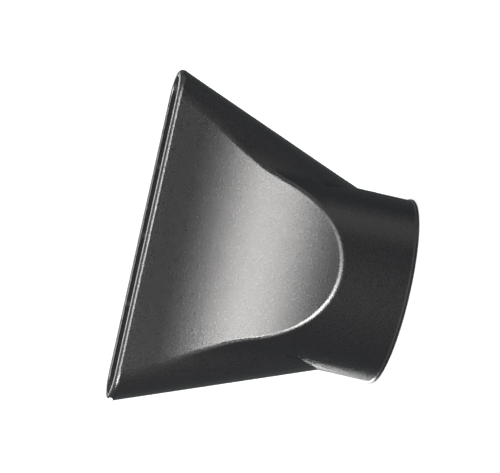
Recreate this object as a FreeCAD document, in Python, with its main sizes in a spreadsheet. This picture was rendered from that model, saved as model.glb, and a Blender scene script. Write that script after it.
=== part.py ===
# Hair dryer concentrator nozzle: one hollow moulding of black plastic that stands on its round push-on collar.
# Millimetres. The origin is on the collar's axis at the inlet end, +Z runs up the axis to the outlet slot,
# X runs along the slot and Y through its thickness.
import FreeCAD, Part
import os
from math import cos, radians, sin

import Sketcher

Vector = FreeCAD.Vector
Constraint = Sketcher.Constraint
UP = Vector(0, 0, 1)

doc = FreeCAD.newDocument("concentrator_nozzle")
dims = doc.addObject("Spreadsheet::Sheet", "dims")

# Driving sizes, in millimetres and degrees
driving_sizes = {
    # Flat fishtail with full-round side rails, from the collar to the outlet slot
    "mouth_height": 65.0,
    "mouth_width": 85.7,
    "mouth_thick": 12.5,
    "root_height": 14.2,
    "root_sink": 7.1,
    "root_thick": 19.0,
    "web_sink": 0.02,
    # Round collar that pushes over the dryer's barrel, with a fine bead round its end
    "bore_dia": 43.6,
    "bore_depth": 12.0,
    "bore_lead": 0.5,
    "collar_wall": 1.5,
    "bead_proud": 0.3,
    "bead_wide": 0.7,
    "bead_edge": 0.25,
    # Stations where the collar's barrel runs out into the side rails through hollow blends
    "low_rise": 9.8,
    "low_blend": 5.0,
    "mid_drop": 18.0,
    "mid_swell": 0.9,
    "mid_blend": 12.0,
    "top_swell": 0.9,
    "top_blend": 15.0,
    "toe_sink": 0.1,
    # Scooped tongue-shaped panel on each broad face
    "lip_land": 8.0,
    "bend_sink": 0.02,
    "scoop_slope": 4.0,
    "scoop_radius": 64.0,
    # Hollow inside
    "wall": 2.0,
    "stop_step": 0.8,
    # Guide ribs across the slot
    "rib_thick": 1.0,
    "rib_pitch": 17.5,
    "rib_length": 13.0,
    "rib_recess": 1.2,
    # Rounded edges
    "crease_round": 0.6,
    "lip_round": 1.2,
    "slot_round": 0.4,
    # How far a cutting form reaches past the face that it cuts
    "overcut": 2.0,
}
for row, (alias, size) in enumerate(driving_sizes.items(), start=1):
    dims.set("A%d" % row, alias)
    dims.set("B%d" % row, str(size))
    dims.setAlias("B%d" % row, alias)
doc.recompute()

# The collar's radius, and heights that follow from the sizes
collar = "(dims.bore_dia / 2 + dims.collar_wall)"
root_low = "(dims.root_height - dims.root_sink)"
low_height = "(dims.root_height + dims.low_rise)"
scoop_start = "(dims.mouth_height - dims.lip_land)"
mid_height = "(%s - dims.mid_drop)" % scoop_start

# How the fishtail widens and thins towards the outlet
side_lean = "((dims.mouth_width / 2 - %s) / (dims.mouth_height - dims.root_height))" % collar
side_cosine = "cos(atan(%s))" % side_lean
rail_taper = "((dims.root_thick - dims.mouth_thick) / 2 / (dims.mouth_height - %s))" % root_low


def half_width(height):
    """Half the fishtail's width at a height, as a formula."""
    return "(%s + (%s - dims.root_height) * %s)" % (collar, height, side_lean)


def half_thick(height):
    """Half the fishtail's thickness at a height, which is its side rails' radius there, as a formula."""
    return "(dims.mouth_thick / 2 + (dims.mouth_height - %s) * %s)" % (height, rail_taper)


def web_face(height):
    """How far the flat web's face is from the middle at a height, as a formula."""
    return "(%s - dims.web_sink)" % half_thick(height)


def rail_centre(height):
    """How far a side rail's axis is from the middle at a height, as a formula."""
    return "(%s - %s / %s)" % (half_width(height), half_thick(height), side_cosine)


def value(formula):
    """The number that a formula on the sheet gives."""
    return float(dims.evalExpression(formula))


def bind(sketch, constraint, name, formula):
    """Add a dimension to a sketch and tie it to the sheet."""
    index = sketch.addConstraint(constraint)
    sketch.renameConstraint(index, name)
    sketch.setExpression("Constraints." + name, formula)


def origin_plane(body, role):
    return next(f for f in body.Origin.OriginFeatures if f.Role == role)


def new_sketch(body, name, role, height=None):
    """A sketch on one of the body's own origin planes, lifted along the plane's normal by a formula."""
    sketch = body.newObject("Sketcher::SketchObject", name)
    sketch.AttachmentSupport = [(origin_plane(body, role), "")]
    sketch.MapMode = "FlatFace"
    if height:
        sketch.setExpression("AttachmentOffset.Base.z", height)
    return sketch


def place(sketch, line, point, name, x, y):
    """Tie one end of a line to a place given by two formulas. A plain "0" puts it on the axis."""
    for axis, formula, zero_line, kind in (("x", x, -2, "DistanceX"), ("y", y, -1, "DistanceY")):
        if formula == "0":
            sketch.addConstraint(Constraint("PointOnObject", line, point, zero_line))
        elif formula.startswith("-"):
            size = formula[1:]
            bind(sketch, Constraint(kind, line, point, -1, 1, value(size)), name + axis, size)
        else:
            bind(sketch, Constraint(kind, -1, 1, line, point, value(formula)), name + axis, formula)


def polygon(sketch, corners):
    """A closed outline of straight lines through corners given as pairs of formulas."""
    points = [Vector(value(x), value(y), 0) for x, y in corners]
    count = len(points)
    sketch.addGeometry([Part.LineSegment(points[i], points[(i + 1) % count]) for i in range(count)])
    for i in range(count):
        sketch.addConstraint(Constraint("Coincident", i, 2, (i + 1) % count, 1))
    for i, (x, y) in enumerate(corners):
        place(sketch, i, 1, "corner_%d_" % i, x, y)


def barrel_section(body, name, height, barrel_formula, blend_formula, rail_x, rail_formula):
    """A cross-section of the barrel running out into the side rails: a crown arc with a hollow arc at each foot.

    A hollow arc leaves the crown and lands on the rail's circle without a kink at either end.
    """
    sketch = new_sketch(body, name, "XY_Plane", height)
    barrel, hollow, rail = value(barrel_formula), value(blend_formula), value(rail_formula)
    rail_middle = Vector(value(rail_x), 0, 0)
    along = ((barrel + hollow) ** 2 - (rail + hollow) ** 2 + rail_middle.x**2) / 2 / rail_middle.x
    centre = Vector(along, ((barrel + hollow) ** 2 - along**2) ** 0.5, 0)
    toe = rail_middle + (centre - rail_middle) * (rail / (rail + hollow))
    rise = Vector(1, 0, 0).getAngle(centre)
    toe_turn = radians(360) - Vector(1, 0, 0).getAngle(toe - centre)
    half_turn = radians(180)

    def hollow_arc(side, face):
        begin, end = half_turn + rise, toe_turn
        if side < 0:
            begin, end = half_turn - end, half_turn - begin
        if face < 0:
            begin, end = -end, -begin
        return Part.ArcOfCircle(Part.Circle(Vector(centre.x * side, centre.y * face, 0), UP, hollow), begin, end)

    circle = Part.Circle(Vector(), UP, barrel)
    sketch.addGeometry(
        [
            Part.LineSegment(Vector(toe.x, -toe.y, 0), toe),
            hollow_arc(1, 1),
            Part.ArcOfCircle(circle, rise, half_turn - rise),
            hollow_arc(-1, 1),
            Part.LineSegment(Vector(-toe.x, toe.y, 0), -toe),
            hollow_arc(-1, -1),
            Part.ArcOfCircle(circle, half_turn + rise, 2 * half_turn - rise),
            hollow_arc(1, -1),
        ]
    )
    for crown, before, after in ((2, 1, 3), (6, 5, 7)):
        sketch.addConstraint(Constraint("Tangent", before, 1, crown, 1))
        sketch.addConstraint(Constraint("Tangent", crown, 2, after, 2))
        sketch.addConstraint(Constraint("Coincident", crown, 3, -1, 1))
    for line, end, arc, arc_end in ((0, 2, 1, 2), (4, 1, 3, 1), (4, 2, 5, 2), (0, 1, 7, 1)):
        sketch.addConstraint(Constraint("Coincident", line, end, arc, arc_end))
    for arc in (3, 5, 7):
        sketch.addConstraint(Constraint("Equal", 1, arc))
    sketch.addConstraint(Constraint("Equal", 2, 6))
    bind(sketch, Constraint("Radius", 2, barrel), "barrel_radius", barrel_formula)
    bind(sketch, Constraint("Radius", 1, hollow), "blend_radius", blend_formula)
    landing = sketch.addGeometry(Part.Circle(rail_middle, UP, rail), True)
    place(sketch, landing, 3, "rail_", rail_x, "0")
    bind(sketch, Constraint("Radius", landing, rail), "rail_radius", rail_formula)
    sketch.addConstraint(Constraint("Tangent", 1, 2, landing))
    sketch.addConstraint(Constraint("Symmetric", 0, 1, 0, 2, -1))
    sketch.addConstraint(Constraint("Symmetric", 4, 1, 0, 2, -2))
    sketch.addConstraint(Constraint("Symmetric", 4, 2, 0, 1, -2))
    return sketch


def loft(body, name, sections, ruled):
    """A solid through cross-sections, added to the body."""
    feature = body.newObject("PartDesign::AdditiveLoft", name)
    feature.Profile = sections[0]
    feature.Sections = sections[1:]
    feature.Ruled = ruled
    body.Tip = feature
    doc.recompute()


def revolve(body, name, sketch, axis):
    """Turn a sketch right round one of its axes and add the solid to the body."""
    feature = body.newObject("PartDesign::Revolution", name)
    feature.Profile = sketch
    feature.ReferenceAxis = (sketch, [axis])
    feature.Angle = 360
    body.Tip = feature
    doc.recompute()
    return feature


def turn(body, name, corners):
    """Revolve an outline of radius and height pairs about the collar's axis."""
    sketch = new_sketch(body, name + "_outline", "XZ_Plane")
    polygon(sketch, corners)
    revolve(body, name, sketch, "V_Axis")


def mirror(body, name, feature, role):
    """Repeat a feature on the other side of one of the body's origin planes."""
    other = body.newObject("PartDesign::Mirrored", name)
    other.Originals = [feature]
    other.MirrorPlane = (origin_plane(body, role), [""])
    body.Tip = other
    doc.recompute()


def pocket(body, name, sketch):
    """Cut a sketch right through the body, both ways, and make sure that it cut something."""
    doc.recompute()
    before = body.Shape.Volume
    cut = body.newObject("PartDesign::Pocket", name)
    cut.Profile = sketch
    cut.Type = "ThroughAll"
    cut.SideType = "Symmetric"
    body.Tip = cut
    doc.recompute()
    if not body.Shape.Volume < before:
        raise RuntimeError(name + " cut nothing")
    return cut


def scoop(body, inset):
    """Cut the hollow ramp of both broad faces: flat behind the lip, then an arc that climbs to the barrel's side.

    The inset sinks the ramp, so that the same cut shapes the inside one wall below the outside.
    """
    sketch = new_sketch(body, body.Name + "_ramp", "YZ_Plane")
    radius = "(dims.scoop_radius + %s)" % inset
    start = "(%s - %s * sin(dims.scoop_slope))" % (scoop_start, inset)
    bend_y = "(%s - dims.bend_sink - %s * cos(dims.scoop_slope))" % (web_face(scoop_start), inset)
    top = "(dims.mouth_height + dims.overcut)"
    edge_y = "(%s - (%s - %s) * tan(dims.scoop_slope))" % (bend_y, top, start)
    side = "(%s + dims.overcut)" % collar
    slope, size = radians(value("dims.scoop_slope")), value(radius)
    bend = Vector(value(bend_y), value(start), 0)
    centre = bend + Vector(cos(slope), sin(slope), 0) * size
    reach = centre.x - value(side)
    foot = Vector(value(side), centre.y - (size**2 - reach**2) ** 0.5, 0)
    last = radians(180) + Vector(1, 0, 0).getAngle(centre - foot)
    edge = Vector(value(edge_y), value(top), 0)
    outside = Vector(value(side), value(top), 0)
    sketch.addGeometry(
        [
            Part.LineSegment(edge, bend),
            Part.ArcOfCircle(Part.Circle(centre, UP, size), radians(180) + slope, last),
            Part.LineSegment(foot, outside),
            Part.LineSegment(outside, edge),
        ]
    )
    sketch.addConstraint(Constraint("Tangent", 0, 2, 1, 1))
    for first in (1, 2, 3):
        sketch.addConstraint(Constraint("Coincident", first, 2, (first + 1) % 4, 1))
    sketch.addConstraint(Constraint("Vertical", 2))
    sketch.addConstraint(Constraint("Horizontal", 3))
    bind(sketch, Constraint("Radius", 1, size), "ramp_radius", radius)
    place(sketch, 0, 1, "edge_", edge_y, top)
    place(sketch, 0, 2, "bend_", bend_y, start)
    bind(sketch, Constraint("DistanceX", -1, 1, 2, 1, value(side)), "side", side)
    cut = pocket(body, body.Name + "_scoop", sketch)
    mirror(body, body.Name + "_back_scoop", cut, "XZ_Plane")


def fishtail(body, inset):
    """Two leaning round rails that taper to the outlet, and the flat web between them, all sunk by the inset."""
    top = "(dims.mouth_height + dims.overcut)"
    rail = new_sketch(body, body.Name + "_rail_outline", "XZ_Plane")
    ends = (root_low, top)
    axis_x = [rail_centre(height) for height in ends]
    side_x = ["(%s - %s / %s)" % (half_width(height), inset, side_cosine) for height in ends]
    polygon(rail, [(axis_x[0], root_low), (side_x[0], root_low), (side_x[1], top), (axis_x[1], top)])
    foot, head = [Vector(value(x), value(height), 0) for x, height in zip(axis_x, ends)]
    axis = rail.addGeometry(Part.LineSegment(foot, head), True)
    rail.addConstraint(Constraint("Coincident", axis, 1, 0, 1))
    rail.addConstraint(Constraint("Coincident", axis, 2, 3, 1))
    right_rail = revolve(body, body.Name + "_right_rail", rail, "Axis0")
    mirror(body, body.Name + "_left_rail", right_rail, "YZ_Plane")
    webs = []
    for end, height, reach in zip(("foot", "head"), ends, axis_x):
        web = new_sketch(body, "%s_web_%s" % (body.Name, end), "XY_Plane", height)
        face = "(%s - %s)" % (web_face(height), inset)
        polygon(web, [(reach, face), ("-" + reach, face), ("-" + reach, "-" + face), (reach, "-" + face)])
        webs.append(web)
    loft(body, body.Name + "_web", webs, True)


def barrel(body, radius, inset):
    """The collar's barrel as it runs out into the fishtail, through three cross-sections, sunk by the inset."""
    stations = []
    for station, height, swollen in (
        ("low", low_height, radius),
        ("mid", mid_height, radius + " + dims.mid_swell"),
        ("top", scoop_start, radius + " + dims.top_swell"),
    ):
        rail = "(%s - dims.toe_sink - %s)" % (half_thick(height), inset)
        stations.append(
            barrel_section(
                body,
                "%s_%s_section" % (body.Name, station),
                height,
                swollen,
                "dims.%s_blend + %s" % (station, inset),
                "(%s + %s * (1 / %s - 1) / 2)" % (rail_centre(height), rail, side_cosine),
                rail,
            )
        )
    loft(body, body.Name + "_barrel", stations, False)


def round_edges(body, name, size, wanted):
    """Round the body's edges that a test picks, with a radius from the sheet."""
    shape = body.Shape
    names = ["Edge%d" % i for i, edge in enumerate(shape.Edges, start=1) if wanted(shape, edge)]
    base = body.Tip
    feature = body.newObject("PartDesign::Fillet", name)
    feature.Base = (base, names)
    feature.setExpression("Radius", size)
    body.Tip = feature
    doc.recompute()


def is_scoop(face):
    """Whether a face is the arc of a scoop: a cylinder that lies along the slot."""
    return isinstance(face.Surface, Part.Cylinder) and abs(face.Surface.Axis.x) > 0.9


def sides_of(shape, edge):
    """The faces beside an edge, and the angle between them at its middle."""
    sides = [f for f in shape.Faces if any(e.isSame(edge) for e in f.Edges)]
    if len(sides) != 2:
        return sides, 0
    middle = edge.valueAt((edge.FirstParameter + edge.LastParameter) / 2)
    first, second = [f.normalAt(*f.Surface.parameter(middle)) for f in sides]
    return sides, first.getAngle(second)


def is_crease(shape, edge):
    """Whether an edge is the raised rim of the tongue-shaped panel, and not an end of the ramp."""
    sides, angle = sides_of(shape, edge)
    return radians(10) < angle < radians(75) and is_scoop(sides[0]) != is_scoop(sides[1])


def is_lip(shape, edge):
    """Whether an edge runs round the outlet, in the plane of its lips, and is still sharp."""
    if any(abs(v.Z - value("dims.mouth_height")) > 0.001 for v in edge.Vertexes):
        return False
    return sides_of(shape, edge)[1] > radians(30)


# Outside of the moulding
nozzle = doc.addObject("PartDesign::Body", "concentrator_nozzle")
turn(
    nozzle,
    "collar",
    [
        ("0", "0"),
        (collar + " + dims.bead_proud - dims.bead_edge", "0"),
        (collar + " + dims.bead_proud", "dims.bead_edge"),
        (collar + " + dims.bead_proud", "dims.bead_wide"),
        (collar, "dims.bead_wide + dims.bead_proud"),
        (collar, low_height),
        ("0", low_height),
    ],
)
barrel(nozzle, collar, "0")
scoop(nozzle, "0")
round_edges(nozzle, "crease", "dims.crease_round", is_crease)
fishtail(nozzle, "0")
mouth_trim = new_sketch(nozzle, "mouth_trim", "XZ_Plane")
trim_side = "(dims.mouth_width / 2 + 5 * dims.overcut)"
trim_top = "(dims.mouth_height + dims.mouth_thick)"
polygon(
    mouth_trim,
    [
        ("-" + trim_side, "dims.mouth_height"),
        (trim_side, "dims.mouth_height"),
        (trim_side, trim_top),
        ("-" + trim_side, trim_top),
    ],
)
pocket(nozzle, "mouth_plane", mouth_trim)
round_edges(nozzle, "lips", "dims.lip_round", is_lip)

# Inside of the moulding: the space that the air passes through
core = doc.addObject("PartDesign::Body", "air_space")
bore = "dims.bore_dia / 2"
duct = bore + " - dims.stop_step"
turn(
    core,
    "bore",
    [
        ("0", "-dims.overcut"),
        (bore + " + dims.bore_lead", "-dims.overcut"),
        (bore + " + dims.bore_lead", "0"),
        (bore, "dims.bore_lead"),
        (bore, "dims.bore_depth"),
        (duct, "dims.bore_depth"),
        (duct, low_height),
        ("0", low_height),
    ],
)
barrel(core, duct, "dims.wall")
scoop(core, "dims.wall")
fishtail(core, "dims.wall")

# Guide ribs: gaps left in the air space, so that they stand from face to face
rib_left = "-(dims.rib_pitch + dims.rib_thick / 2)"
rib_right = "-(dims.rib_pitch - dims.rib_thick / 2)"
rib_top = "dims.mouth_height - dims.rib_recess"
rib_foot = rib_top + " - dims.rib_length"
rib_outline = new_sketch(core, "rib_outline", "XZ_Plane")
polygon(
    rib_outline, [(rib_left, rib_foot), (rib_right, rib_foot), (rib_right, rib_top), (rib_left, rib_top)]
)
first_rib = pocket(core, "rib", rib_outline)
ribs = core.newObject("PartDesign::LinearPattern", "ribs")
ribs.Originals = [first_rib]
ribs.Direction = (rib_outline, ["H_Axis"])
ribs.setExpression("Length", "2 * dims.rib_pitch")
ribs.Occurrences = 3
core.Tip = ribs
doc.recompute()

# The moulding: the outside less the air space, with its slot's inner edges eased
hollow = nozzle.newObject("PartDesign::Boolean", "hollow")
hollow.Type = "Cut"
hollow.setObjects([core])
nozzle.Tip = hollow
doc.recompute()
round_edges(nozzle, "slot_edges", "dims.slot_round", is_lip)

failed = [o.Name for o in doc.Objects if "Invalid" in o.State or "Error" in o.State]
if failed:
    raise RuntimeError("failed: " + ", ".join(failed))
if nozzle.Shape.isNull() or not nozzle.Shape.isValid() or len(nozzle.Shape.Solids) != 1:
    raise RuntimeError("the nozzle is not one valid solid")
os.makedirs("parts", exist_ok=True)
nozzle.Shape.exportStep("parts/%s.step" % nozzle.Label)
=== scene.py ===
from math import cos, radians, sin

import bmesh
import bpy
from mathutils import Matrix, Vector
from mathutils.kdtree import KDTree


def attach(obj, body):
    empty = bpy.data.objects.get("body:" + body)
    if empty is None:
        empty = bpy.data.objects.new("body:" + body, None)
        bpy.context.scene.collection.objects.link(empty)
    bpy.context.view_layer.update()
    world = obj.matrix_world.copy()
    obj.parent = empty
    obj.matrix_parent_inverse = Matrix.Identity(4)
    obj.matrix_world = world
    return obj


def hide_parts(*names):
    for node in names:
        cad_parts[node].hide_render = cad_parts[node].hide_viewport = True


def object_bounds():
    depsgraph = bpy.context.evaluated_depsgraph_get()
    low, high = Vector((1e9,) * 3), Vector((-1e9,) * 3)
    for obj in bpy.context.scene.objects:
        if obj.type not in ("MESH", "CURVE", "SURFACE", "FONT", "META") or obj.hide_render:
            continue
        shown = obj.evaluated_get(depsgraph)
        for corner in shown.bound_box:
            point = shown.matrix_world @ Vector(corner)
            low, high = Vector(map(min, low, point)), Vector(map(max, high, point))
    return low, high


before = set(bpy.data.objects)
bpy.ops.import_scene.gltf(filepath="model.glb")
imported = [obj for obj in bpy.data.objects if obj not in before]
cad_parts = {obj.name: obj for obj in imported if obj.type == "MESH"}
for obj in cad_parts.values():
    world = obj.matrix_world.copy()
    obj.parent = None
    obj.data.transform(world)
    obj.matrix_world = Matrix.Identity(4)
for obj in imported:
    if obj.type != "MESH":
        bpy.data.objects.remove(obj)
cad_low, cad_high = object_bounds()


# Nozzle
# The one moulding of the concentrator: black plastic, injected in a spark-eroded steel mould,
# so that its satin skin has a fine even grain. It stands on the collar that pushes onto the dryer.
solid_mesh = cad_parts["concentrator_nozzle"].data

# The skin is a merged copy of the solid's faces, and each corner keeps the solid's normal for later
merge_distance = 1e-6
skin_mesh = bpy.data.meshes.new("nozzle")
shell = bmesh.new()
shell.from_mesh(solid_mesh)
facing = shell.loops.layers.float_vector.new("facing")
corners = [corner for face in shell.faces for corner in face.loops]
for corner, normal in zip(corners, solid_mesh.corner_normals):
    corner[facing] = normal.vector
bmesh.ops.remove_doubles(shell, verts=shell.verts, dist=merge_distance)

# The panel is part of a cylinder that lies along the slot, one on each broad face
scoop_y = 0.070503
scoop_z = 0.061464
scoop_radius = 0.064
scoop_tolerance = 4e-6


def toward_scoop(point):
    broad_side = 1 if point.y > 0 else -1
    return Vector((0, scoop_y * broad_side - point.y, scoop_z - point.z))


def on_panel(vertex):
    return abs(toward_scoop(vertex.co).length - scoop_radius) < scoop_tolerance


def tree_of(points):
    tree = KDTree(len(points))
    for index, point in enumerate(points):
        tree.insert(point, index)
    tree.balance()
    return tree


# The rim is the panel's edge, apart from the straight stretch under the lips
rim_top = 0.0545
rim_spacing = 0.0002
scooped = shell.faces.layers.int.new("scooped")
for face in shell.faces:
    face[scooped] = all(on_panel(vertex) for vertex in face.verts)
rim_points = []
for edge in shell.edges:
    begin, end = [vertex.co for vertex in edge.verts]
    at_edge = sum(face[scooped] for face in edge.link_faces) == 1
    if at_edge and max(begin.z, end.z) < rim_top:
        steps = max(1, round(edge.calc_length() / rim_spacing))
        rim_points += [begin.lerp(end, step / steps) for step in range(steps + 1)]
rim = tree_of(rim_points)


def from_rim(point):
    return rim.find(point)[2]


# The faces are divided to 0.4 mm along the rim and to 1.5 mm on the panel
rim_reach = 0.0018
rim_step = 0.0004
panel_step = 0.0015
divisions = 10
for division in range(divisions):
    offsets = {vertex: from_rim(vertex.co) for vertex in shell.verts}
    coarse = []
    for edge in shell.edges:
        begin, end = edge.verts
        length = edge.calc_length()
        nearest = min(offsets[begin], offsets[end])
        if length > rim_reach:
            nearest = min(nearest, from_rim((begin.co + end.co) / 2))
        long_at_rim = length > rim_step and nearest < rim_reach
        long_on_panel = length > panel_step and any(face[scooped] for face in edge.link_faces)
        if long_at_rim or long_on_panel:
            coarse.append(edge)
    bmesh.ops.subdivide_edges(shell, edges=coarse, cuts=1)
    bmesh.ops.triangulate(shell, faces=shell.faces)
    panel = [face for face in shell.faces if face[scooped]]
    inner = [edge for edge in shell.edges if all(face[scooped] for face in edge.link_faces)]
    bmesh.ops.beautify_fill(shell, faces=panel, edges=inner)
bmesh.ops.dissolve_degenerate(shell, dist=merge_distance, edges=shell.edges)

# The rim is rounded a little by easing the vertices beside it, up to where it fades out
eased_reach = 0.0009
eased_top = 0.0525
easings = 6
beside_rim = [vertex for vertex in shell.verts if from_rim(vertex.co) < eased_reach]
beside_rim = [vertex for vertex in beside_rim if vertex.co.z < eased_top]
for easing in range(easings):
    bmesh.ops.smooth_vert(
        shell, verts=beside_rim, factor=0.5, use_axis_x=True, use_axis_y=True, use_axis_z=True
    )

# Kinks of less than 8 degrees between the solid's faces are smoothed, and larger ones stay sharp
small_kink = cos(radians(8))
smoothed = {}
for vertex in shell.verts:
    around = [corner[facing].copy() for corner in vertex.link_loops]
    for corner, normal in zip(vertex.link_loops, around):
        alike = [other for other in around if other.dot(normal) > small_kink]
        smoothed[corner] = sum(alike, Vector()).normalized()

# The panel takes the cylinder's normals, and across the rim they turn evenly to the barrel's outside it.
# The wall's inner side lies near the rim as well, and faces the other way, so it is left as it is.
roll_inside = 0.0006
roll_outside = 0.0011
roll_width = roll_inside + roll_outside
inner_side_limit = -0.2
rolled = []
barrel_points = []
barrel_normals = []
for vertex in shell.verts:
    offset = from_rim(vertex.co)
    outward = toward_scoop(vertex.co).normalized()
    normal = sum((smoothed[corner] for corner in vertex.link_loops), Vector()).normalized()
    on_outer_side = normal.dot(outward) > inner_side_limit
    if all(face[scooped] for face in vertex.link_faces):
        rolled.append((vertex, outward, max(0, roll_inside - offset) / roll_width))
    elif on_outer_side and offset < roll_outside:
        rolled.append((vertex, outward, (roll_inside + offset) / roll_width))
    elif on_outer_side and offset < rim_reach:
        barrel_points.append(vertex.co.copy())
        barrel_normals.append(normal)
barrel = tree_of(barrel_points)
barrel_samples = 6
for vertex, outward, share in rolled:
    near = [barrel_normals[index] for point, index, gap in barrel.find_n(vertex.co, barrel_samples)]
    turned_to = sum(near, Vector()).normalized()
    for corner in vertex.link_loops:
        smoothed[corner] = outward.lerp(turned_to, share).normalized()

for face in shell.faces:
    face.smooth = True
normals = [smoothed[corner] for face in shell.faces for corner in face.loops]
shell.to_mesh(skin_mesh)
shell.free()
skin_mesh.normals_split_custom_set(normals)
nozzle = bpy.data.objects.new("nozzle", skin_mesh)
bpy.context.collection.objects.link(nozzle)
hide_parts("concentrator_nozzle")
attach(nozzle, "root")

black_plastic = bpy.data.materials.new("black_satin_plastic")
black_plastic.use_nodes = True
nodes = black_plastic.node_tree.nodes
links = black_plastic.node_tree.links
skin = nodes["Principled BSDF"]
skin.inputs["Specular IOR Level"].default_value = 0.4
place = nodes.new("ShaderNodeTexCoord")

# Spark-eroded grain: fine pits of about a third of a millimetre, with a finer tooth on top
pits = nodes.new("ShaderNodeTexNoise")
pits.inputs["Scale"].default_value = 2600.0
pits.inputs["Detail"].default_value = 3.0
pits.inputs["Roughness"].default_value = 0.6
links.new(place.outputs["Object"], pits.inputs["Vector"])
grain = nodes.new("ShaderNodeBump")
grain.inputs["Strength"].default_value = 0.45
grain.inputs["Distance"].default_value = 0.00012
links.new(pits.outputs["Fac"], grain.inputs["Height"])
links.new(grain.outputs["Normal"], skin.inputs["Normal"])

# The grain scatters light a little unevenly, so gloss and tone drift with it
gloss = nodes.new("ShaderNodeMapRange")
gloss.inputs["From Min"].default_value = 0.3
gloss.inputs["From Max"].default_value = 0.7
gloss.inputs["To Min"].default_value = 0.26
gloss.inputs["To Max"].default_value = 0.31
links.new(pits.outputs["Fac"], gloss.inputs["Value"])
links.new(gloss.outputs["Result"], skin.inputs["Roughness"])
tone = nodes.new("ShaderNodeValToRGB")
tone.color_ramp.elements[0].position = 0.3
tone.color_ramp.elements[0].color = (0.003, 0.003, 0.0033, 1)
tone.color_ramp.elements[1].position = 0.7
tone.color_ramp.elements[1].color = (0.007, 0.007, 0.0077, 1)
links.new(pits.outputs["Fac"], tone.inputs["Fac"])
links.new(tone.outputs["Color"], skin.inputs["Base Color"])
skin_mesh.materials.append(black_plastic)


# Floor
# A plain white studio floor of matt paper, wide enough to fill the view behind the nozzle.
# It is kept out of the nozzle's reflections, because the photograph's nozzle is cut out on white.
floor_half = 4.0
floor_mesh = bpy.data.meshes.new("floor")
floor_mesh.from_pydata(
    [
        (-floor_half, -floor_half, 0),
        (floor_half, -floor_half, 0),
        (floor_half, floor_half, 0),
        (-floor_half, floor_half, 0),
    ],
    [],
    [(0, 1, 2, 3)],
)
floor = bpy.data.objects.new("floor", floor_mesh)
bpy.context.collection.objects.link(floor)
white_paper = bpy.data.materials.new("white_paper")
white_paper.use_nodes = True
paper = white_paper.node_tree.nodes["Principled BSDF"]
paper.inputs["Base Color"].default_value = (0.9, 0.9, 0.9, 1)
paper.inputs["Roughness"].default_value = 0.9
paper.inputs["Specular IOR Level"].default_value = 0.0
floor_mesh.materials.append(white_paper)
floor.visible_glossy = False
floor.visible_diffuse = False


# Studio light
# Softboxes on stands, flagged to light the nozzle alone: a key and two strips in front and above for the
# band on the panel and the line along its rim, one beside the collar, and two behind for the collar's
# lower edge and the far face. Two boxes overhead light the top and keep the paper white.
middle = Vector((0, 0, (cad_low.z + cad_high.z) / 2))
on_nozzle = bpy.data.collections.new("lit_by_flagged_softboxes")
on_nozzle.objects.link(nozzle)
on_floor = bpy.data.collections.new("lit_by_floor_wash")
on_floor.objects.link(floor)


def softbox(name, direction, width, height, watts, distance=1.0):
    lamp = bpy.data.lights.new(name, "AREA")
    lamp.shape = "RECTANGLE"
    lamp.size = width
    lamp.size_y = height
    lamp.energy = watts
    box = bpy.data.objects.new(name, lamp)
    toward = Vector(direction).normalized()
    box.location = middle + toward * distance
    box.rotation_mode = "QUATERNION"
    box.rotation_quaternion = toward.to_track_quat("Z", "Y")
    box.visible_camera = False
    bpy.context.collection.objects.link(box)
    return box


key = softbox("key_softbox", (0.03, -0.807, 0.59), width=0.15, height=0.65, watts=11.4)
strip = softbox("strip_softbox", (-0.39, -0.76, 0.52), width=0.5, height=0.24, watts=32.0)
far_strip = softbox("far_strip_softbox", (0.42, -0.745, 0.52), width=0.4, height=0.24, watts=5.5)
rear = softbox("rear_softbox", (-0.44, 0.9, 0.0), width=0.4, height=0.3, watts=14.0)
side = softbox("side_softbox", (0.95, -0.2, 0.15), width=0.7, height=0.9, watts=2.0)
back_box = softbox("back_softbox", (0.1, 0.74, 0.66), width=0.6, height=0.5, watts=7.0)
warm_white = (1, 0.985, 0.965)
for box in (key, strip, far_strip):
    box.data.color = warm_white
for box in (key, strip, far_strip, rear, side, back_box):
    box.light_linking.receiver_collection = on_nozzle
softbox("overhead_softbox", (0, 0, 1), width=2.5, height=2.5, watts=12.0, distance=1.5)
wash = softbox("floor_wash", (0, 0, 1), width=2.5, height=2.5, watts=40.0, distance=1.5)
wash.light_linking.receiver_collection = on_floor
wash.light_linking.blocker_collection = on_floor

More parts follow.
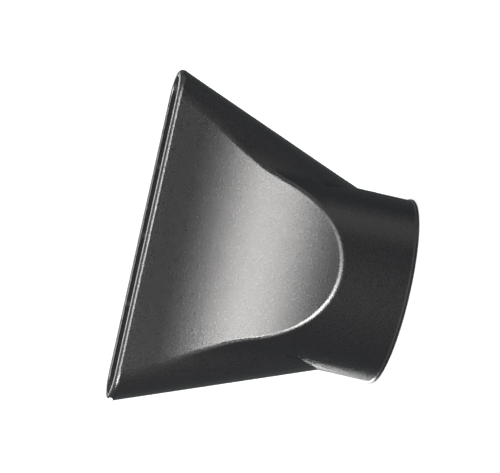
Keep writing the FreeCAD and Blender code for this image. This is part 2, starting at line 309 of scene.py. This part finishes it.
# The room is darkest a little below eye level, lighter above it, and lightest toward the white floor
surround = bpy.data.worlds.new("studio")
surround.use_nodes = True
room = surround.node_tree
toward_room = room.nodes.new("ShaderNodeTexCoord")
parted = room.nodes.new("ShaderNodeSeparateXYZ")
room.links.new(toward_room.outputs["Generated"], parted.inputs["Vector"])
height = room.nodes.new("ShaderNodeMapRange")
height.inputs["From Min"].default_value = -1.0
height.inputs["From Max"].default_value = 1.0
room.links.new(parted.outputs["Z"], height.inputs["Value"])
walls = room.nodes.new("ShaderNodeValToRGB")
walls.color_ramp.elements[0].color = (0.74, 0.77, 0.78, 1)
walls.color_ramp.elements[1].color = (0.34, 0.35, 0.36, 1)
walls.color_ramp.elements.new(0.42).color = (0.09, 0.1, 0.105, 1)
walls.color_ramp.elements.new(0.54).color = (0.31, 0.32, 0.33, 1)
room.links.new(height.outputs["Result"], walls.inputs["Fac"])
room.links.new(walls.outputs["Color"], room.nodes["Background"].inputs["Color"])
bpy.context.scene.world = surround
bpy.context.scene.view_settings.view_transform = "Standard"


# Camera
# The photograph is taken with a long lens, nearly square to the near broad face and 10 degrees round
# toward the slot, rolled so that the collar points right. The shift puts the nozzle in its place.
image_width = 500
camera_distance = 2.0
camera_turn = radians(-3.44)
camera_rise = radians(10.12)
camera_roll = radians(77.00)
focal_px = 7999.9
centre_px = Vector((17.66, 26.27))
lens = bpy.data.cameras.new("camera")
lens.sensor_width = 36.0
lens.lens = focal_px / image_width * lens.sensor_width
lens.shift_x = -centre_px.x / image_width
lens.shift_y = centre_px.y / image_width
lens.clip_end = 20.0
camera = bpy.data.objects.new("camera", lens)
bpy.context.collection.objects.link(camera)
back = Vector(
    (
        sin(camera_turn) * cos(camera_rise),
        -cos(camera_turn) * cos(camera_rise),
        sin(camera_rise),
    )
)
level = Vector((0, 0, 1)).cross(back).normalized()
upright = back.cross(level)
across = level * cos(camera_roll) - upright * sin(camera_roll)
up = level * sin(camera_roll) + upright * cos(camera_roll)
turned = Matrix((across, up, back)).transposed().to_4x4()
camera.matrix_world = Matrix.Translation(middle + back * camera_distance) @ turned
bpy.context.scene.camera = camera
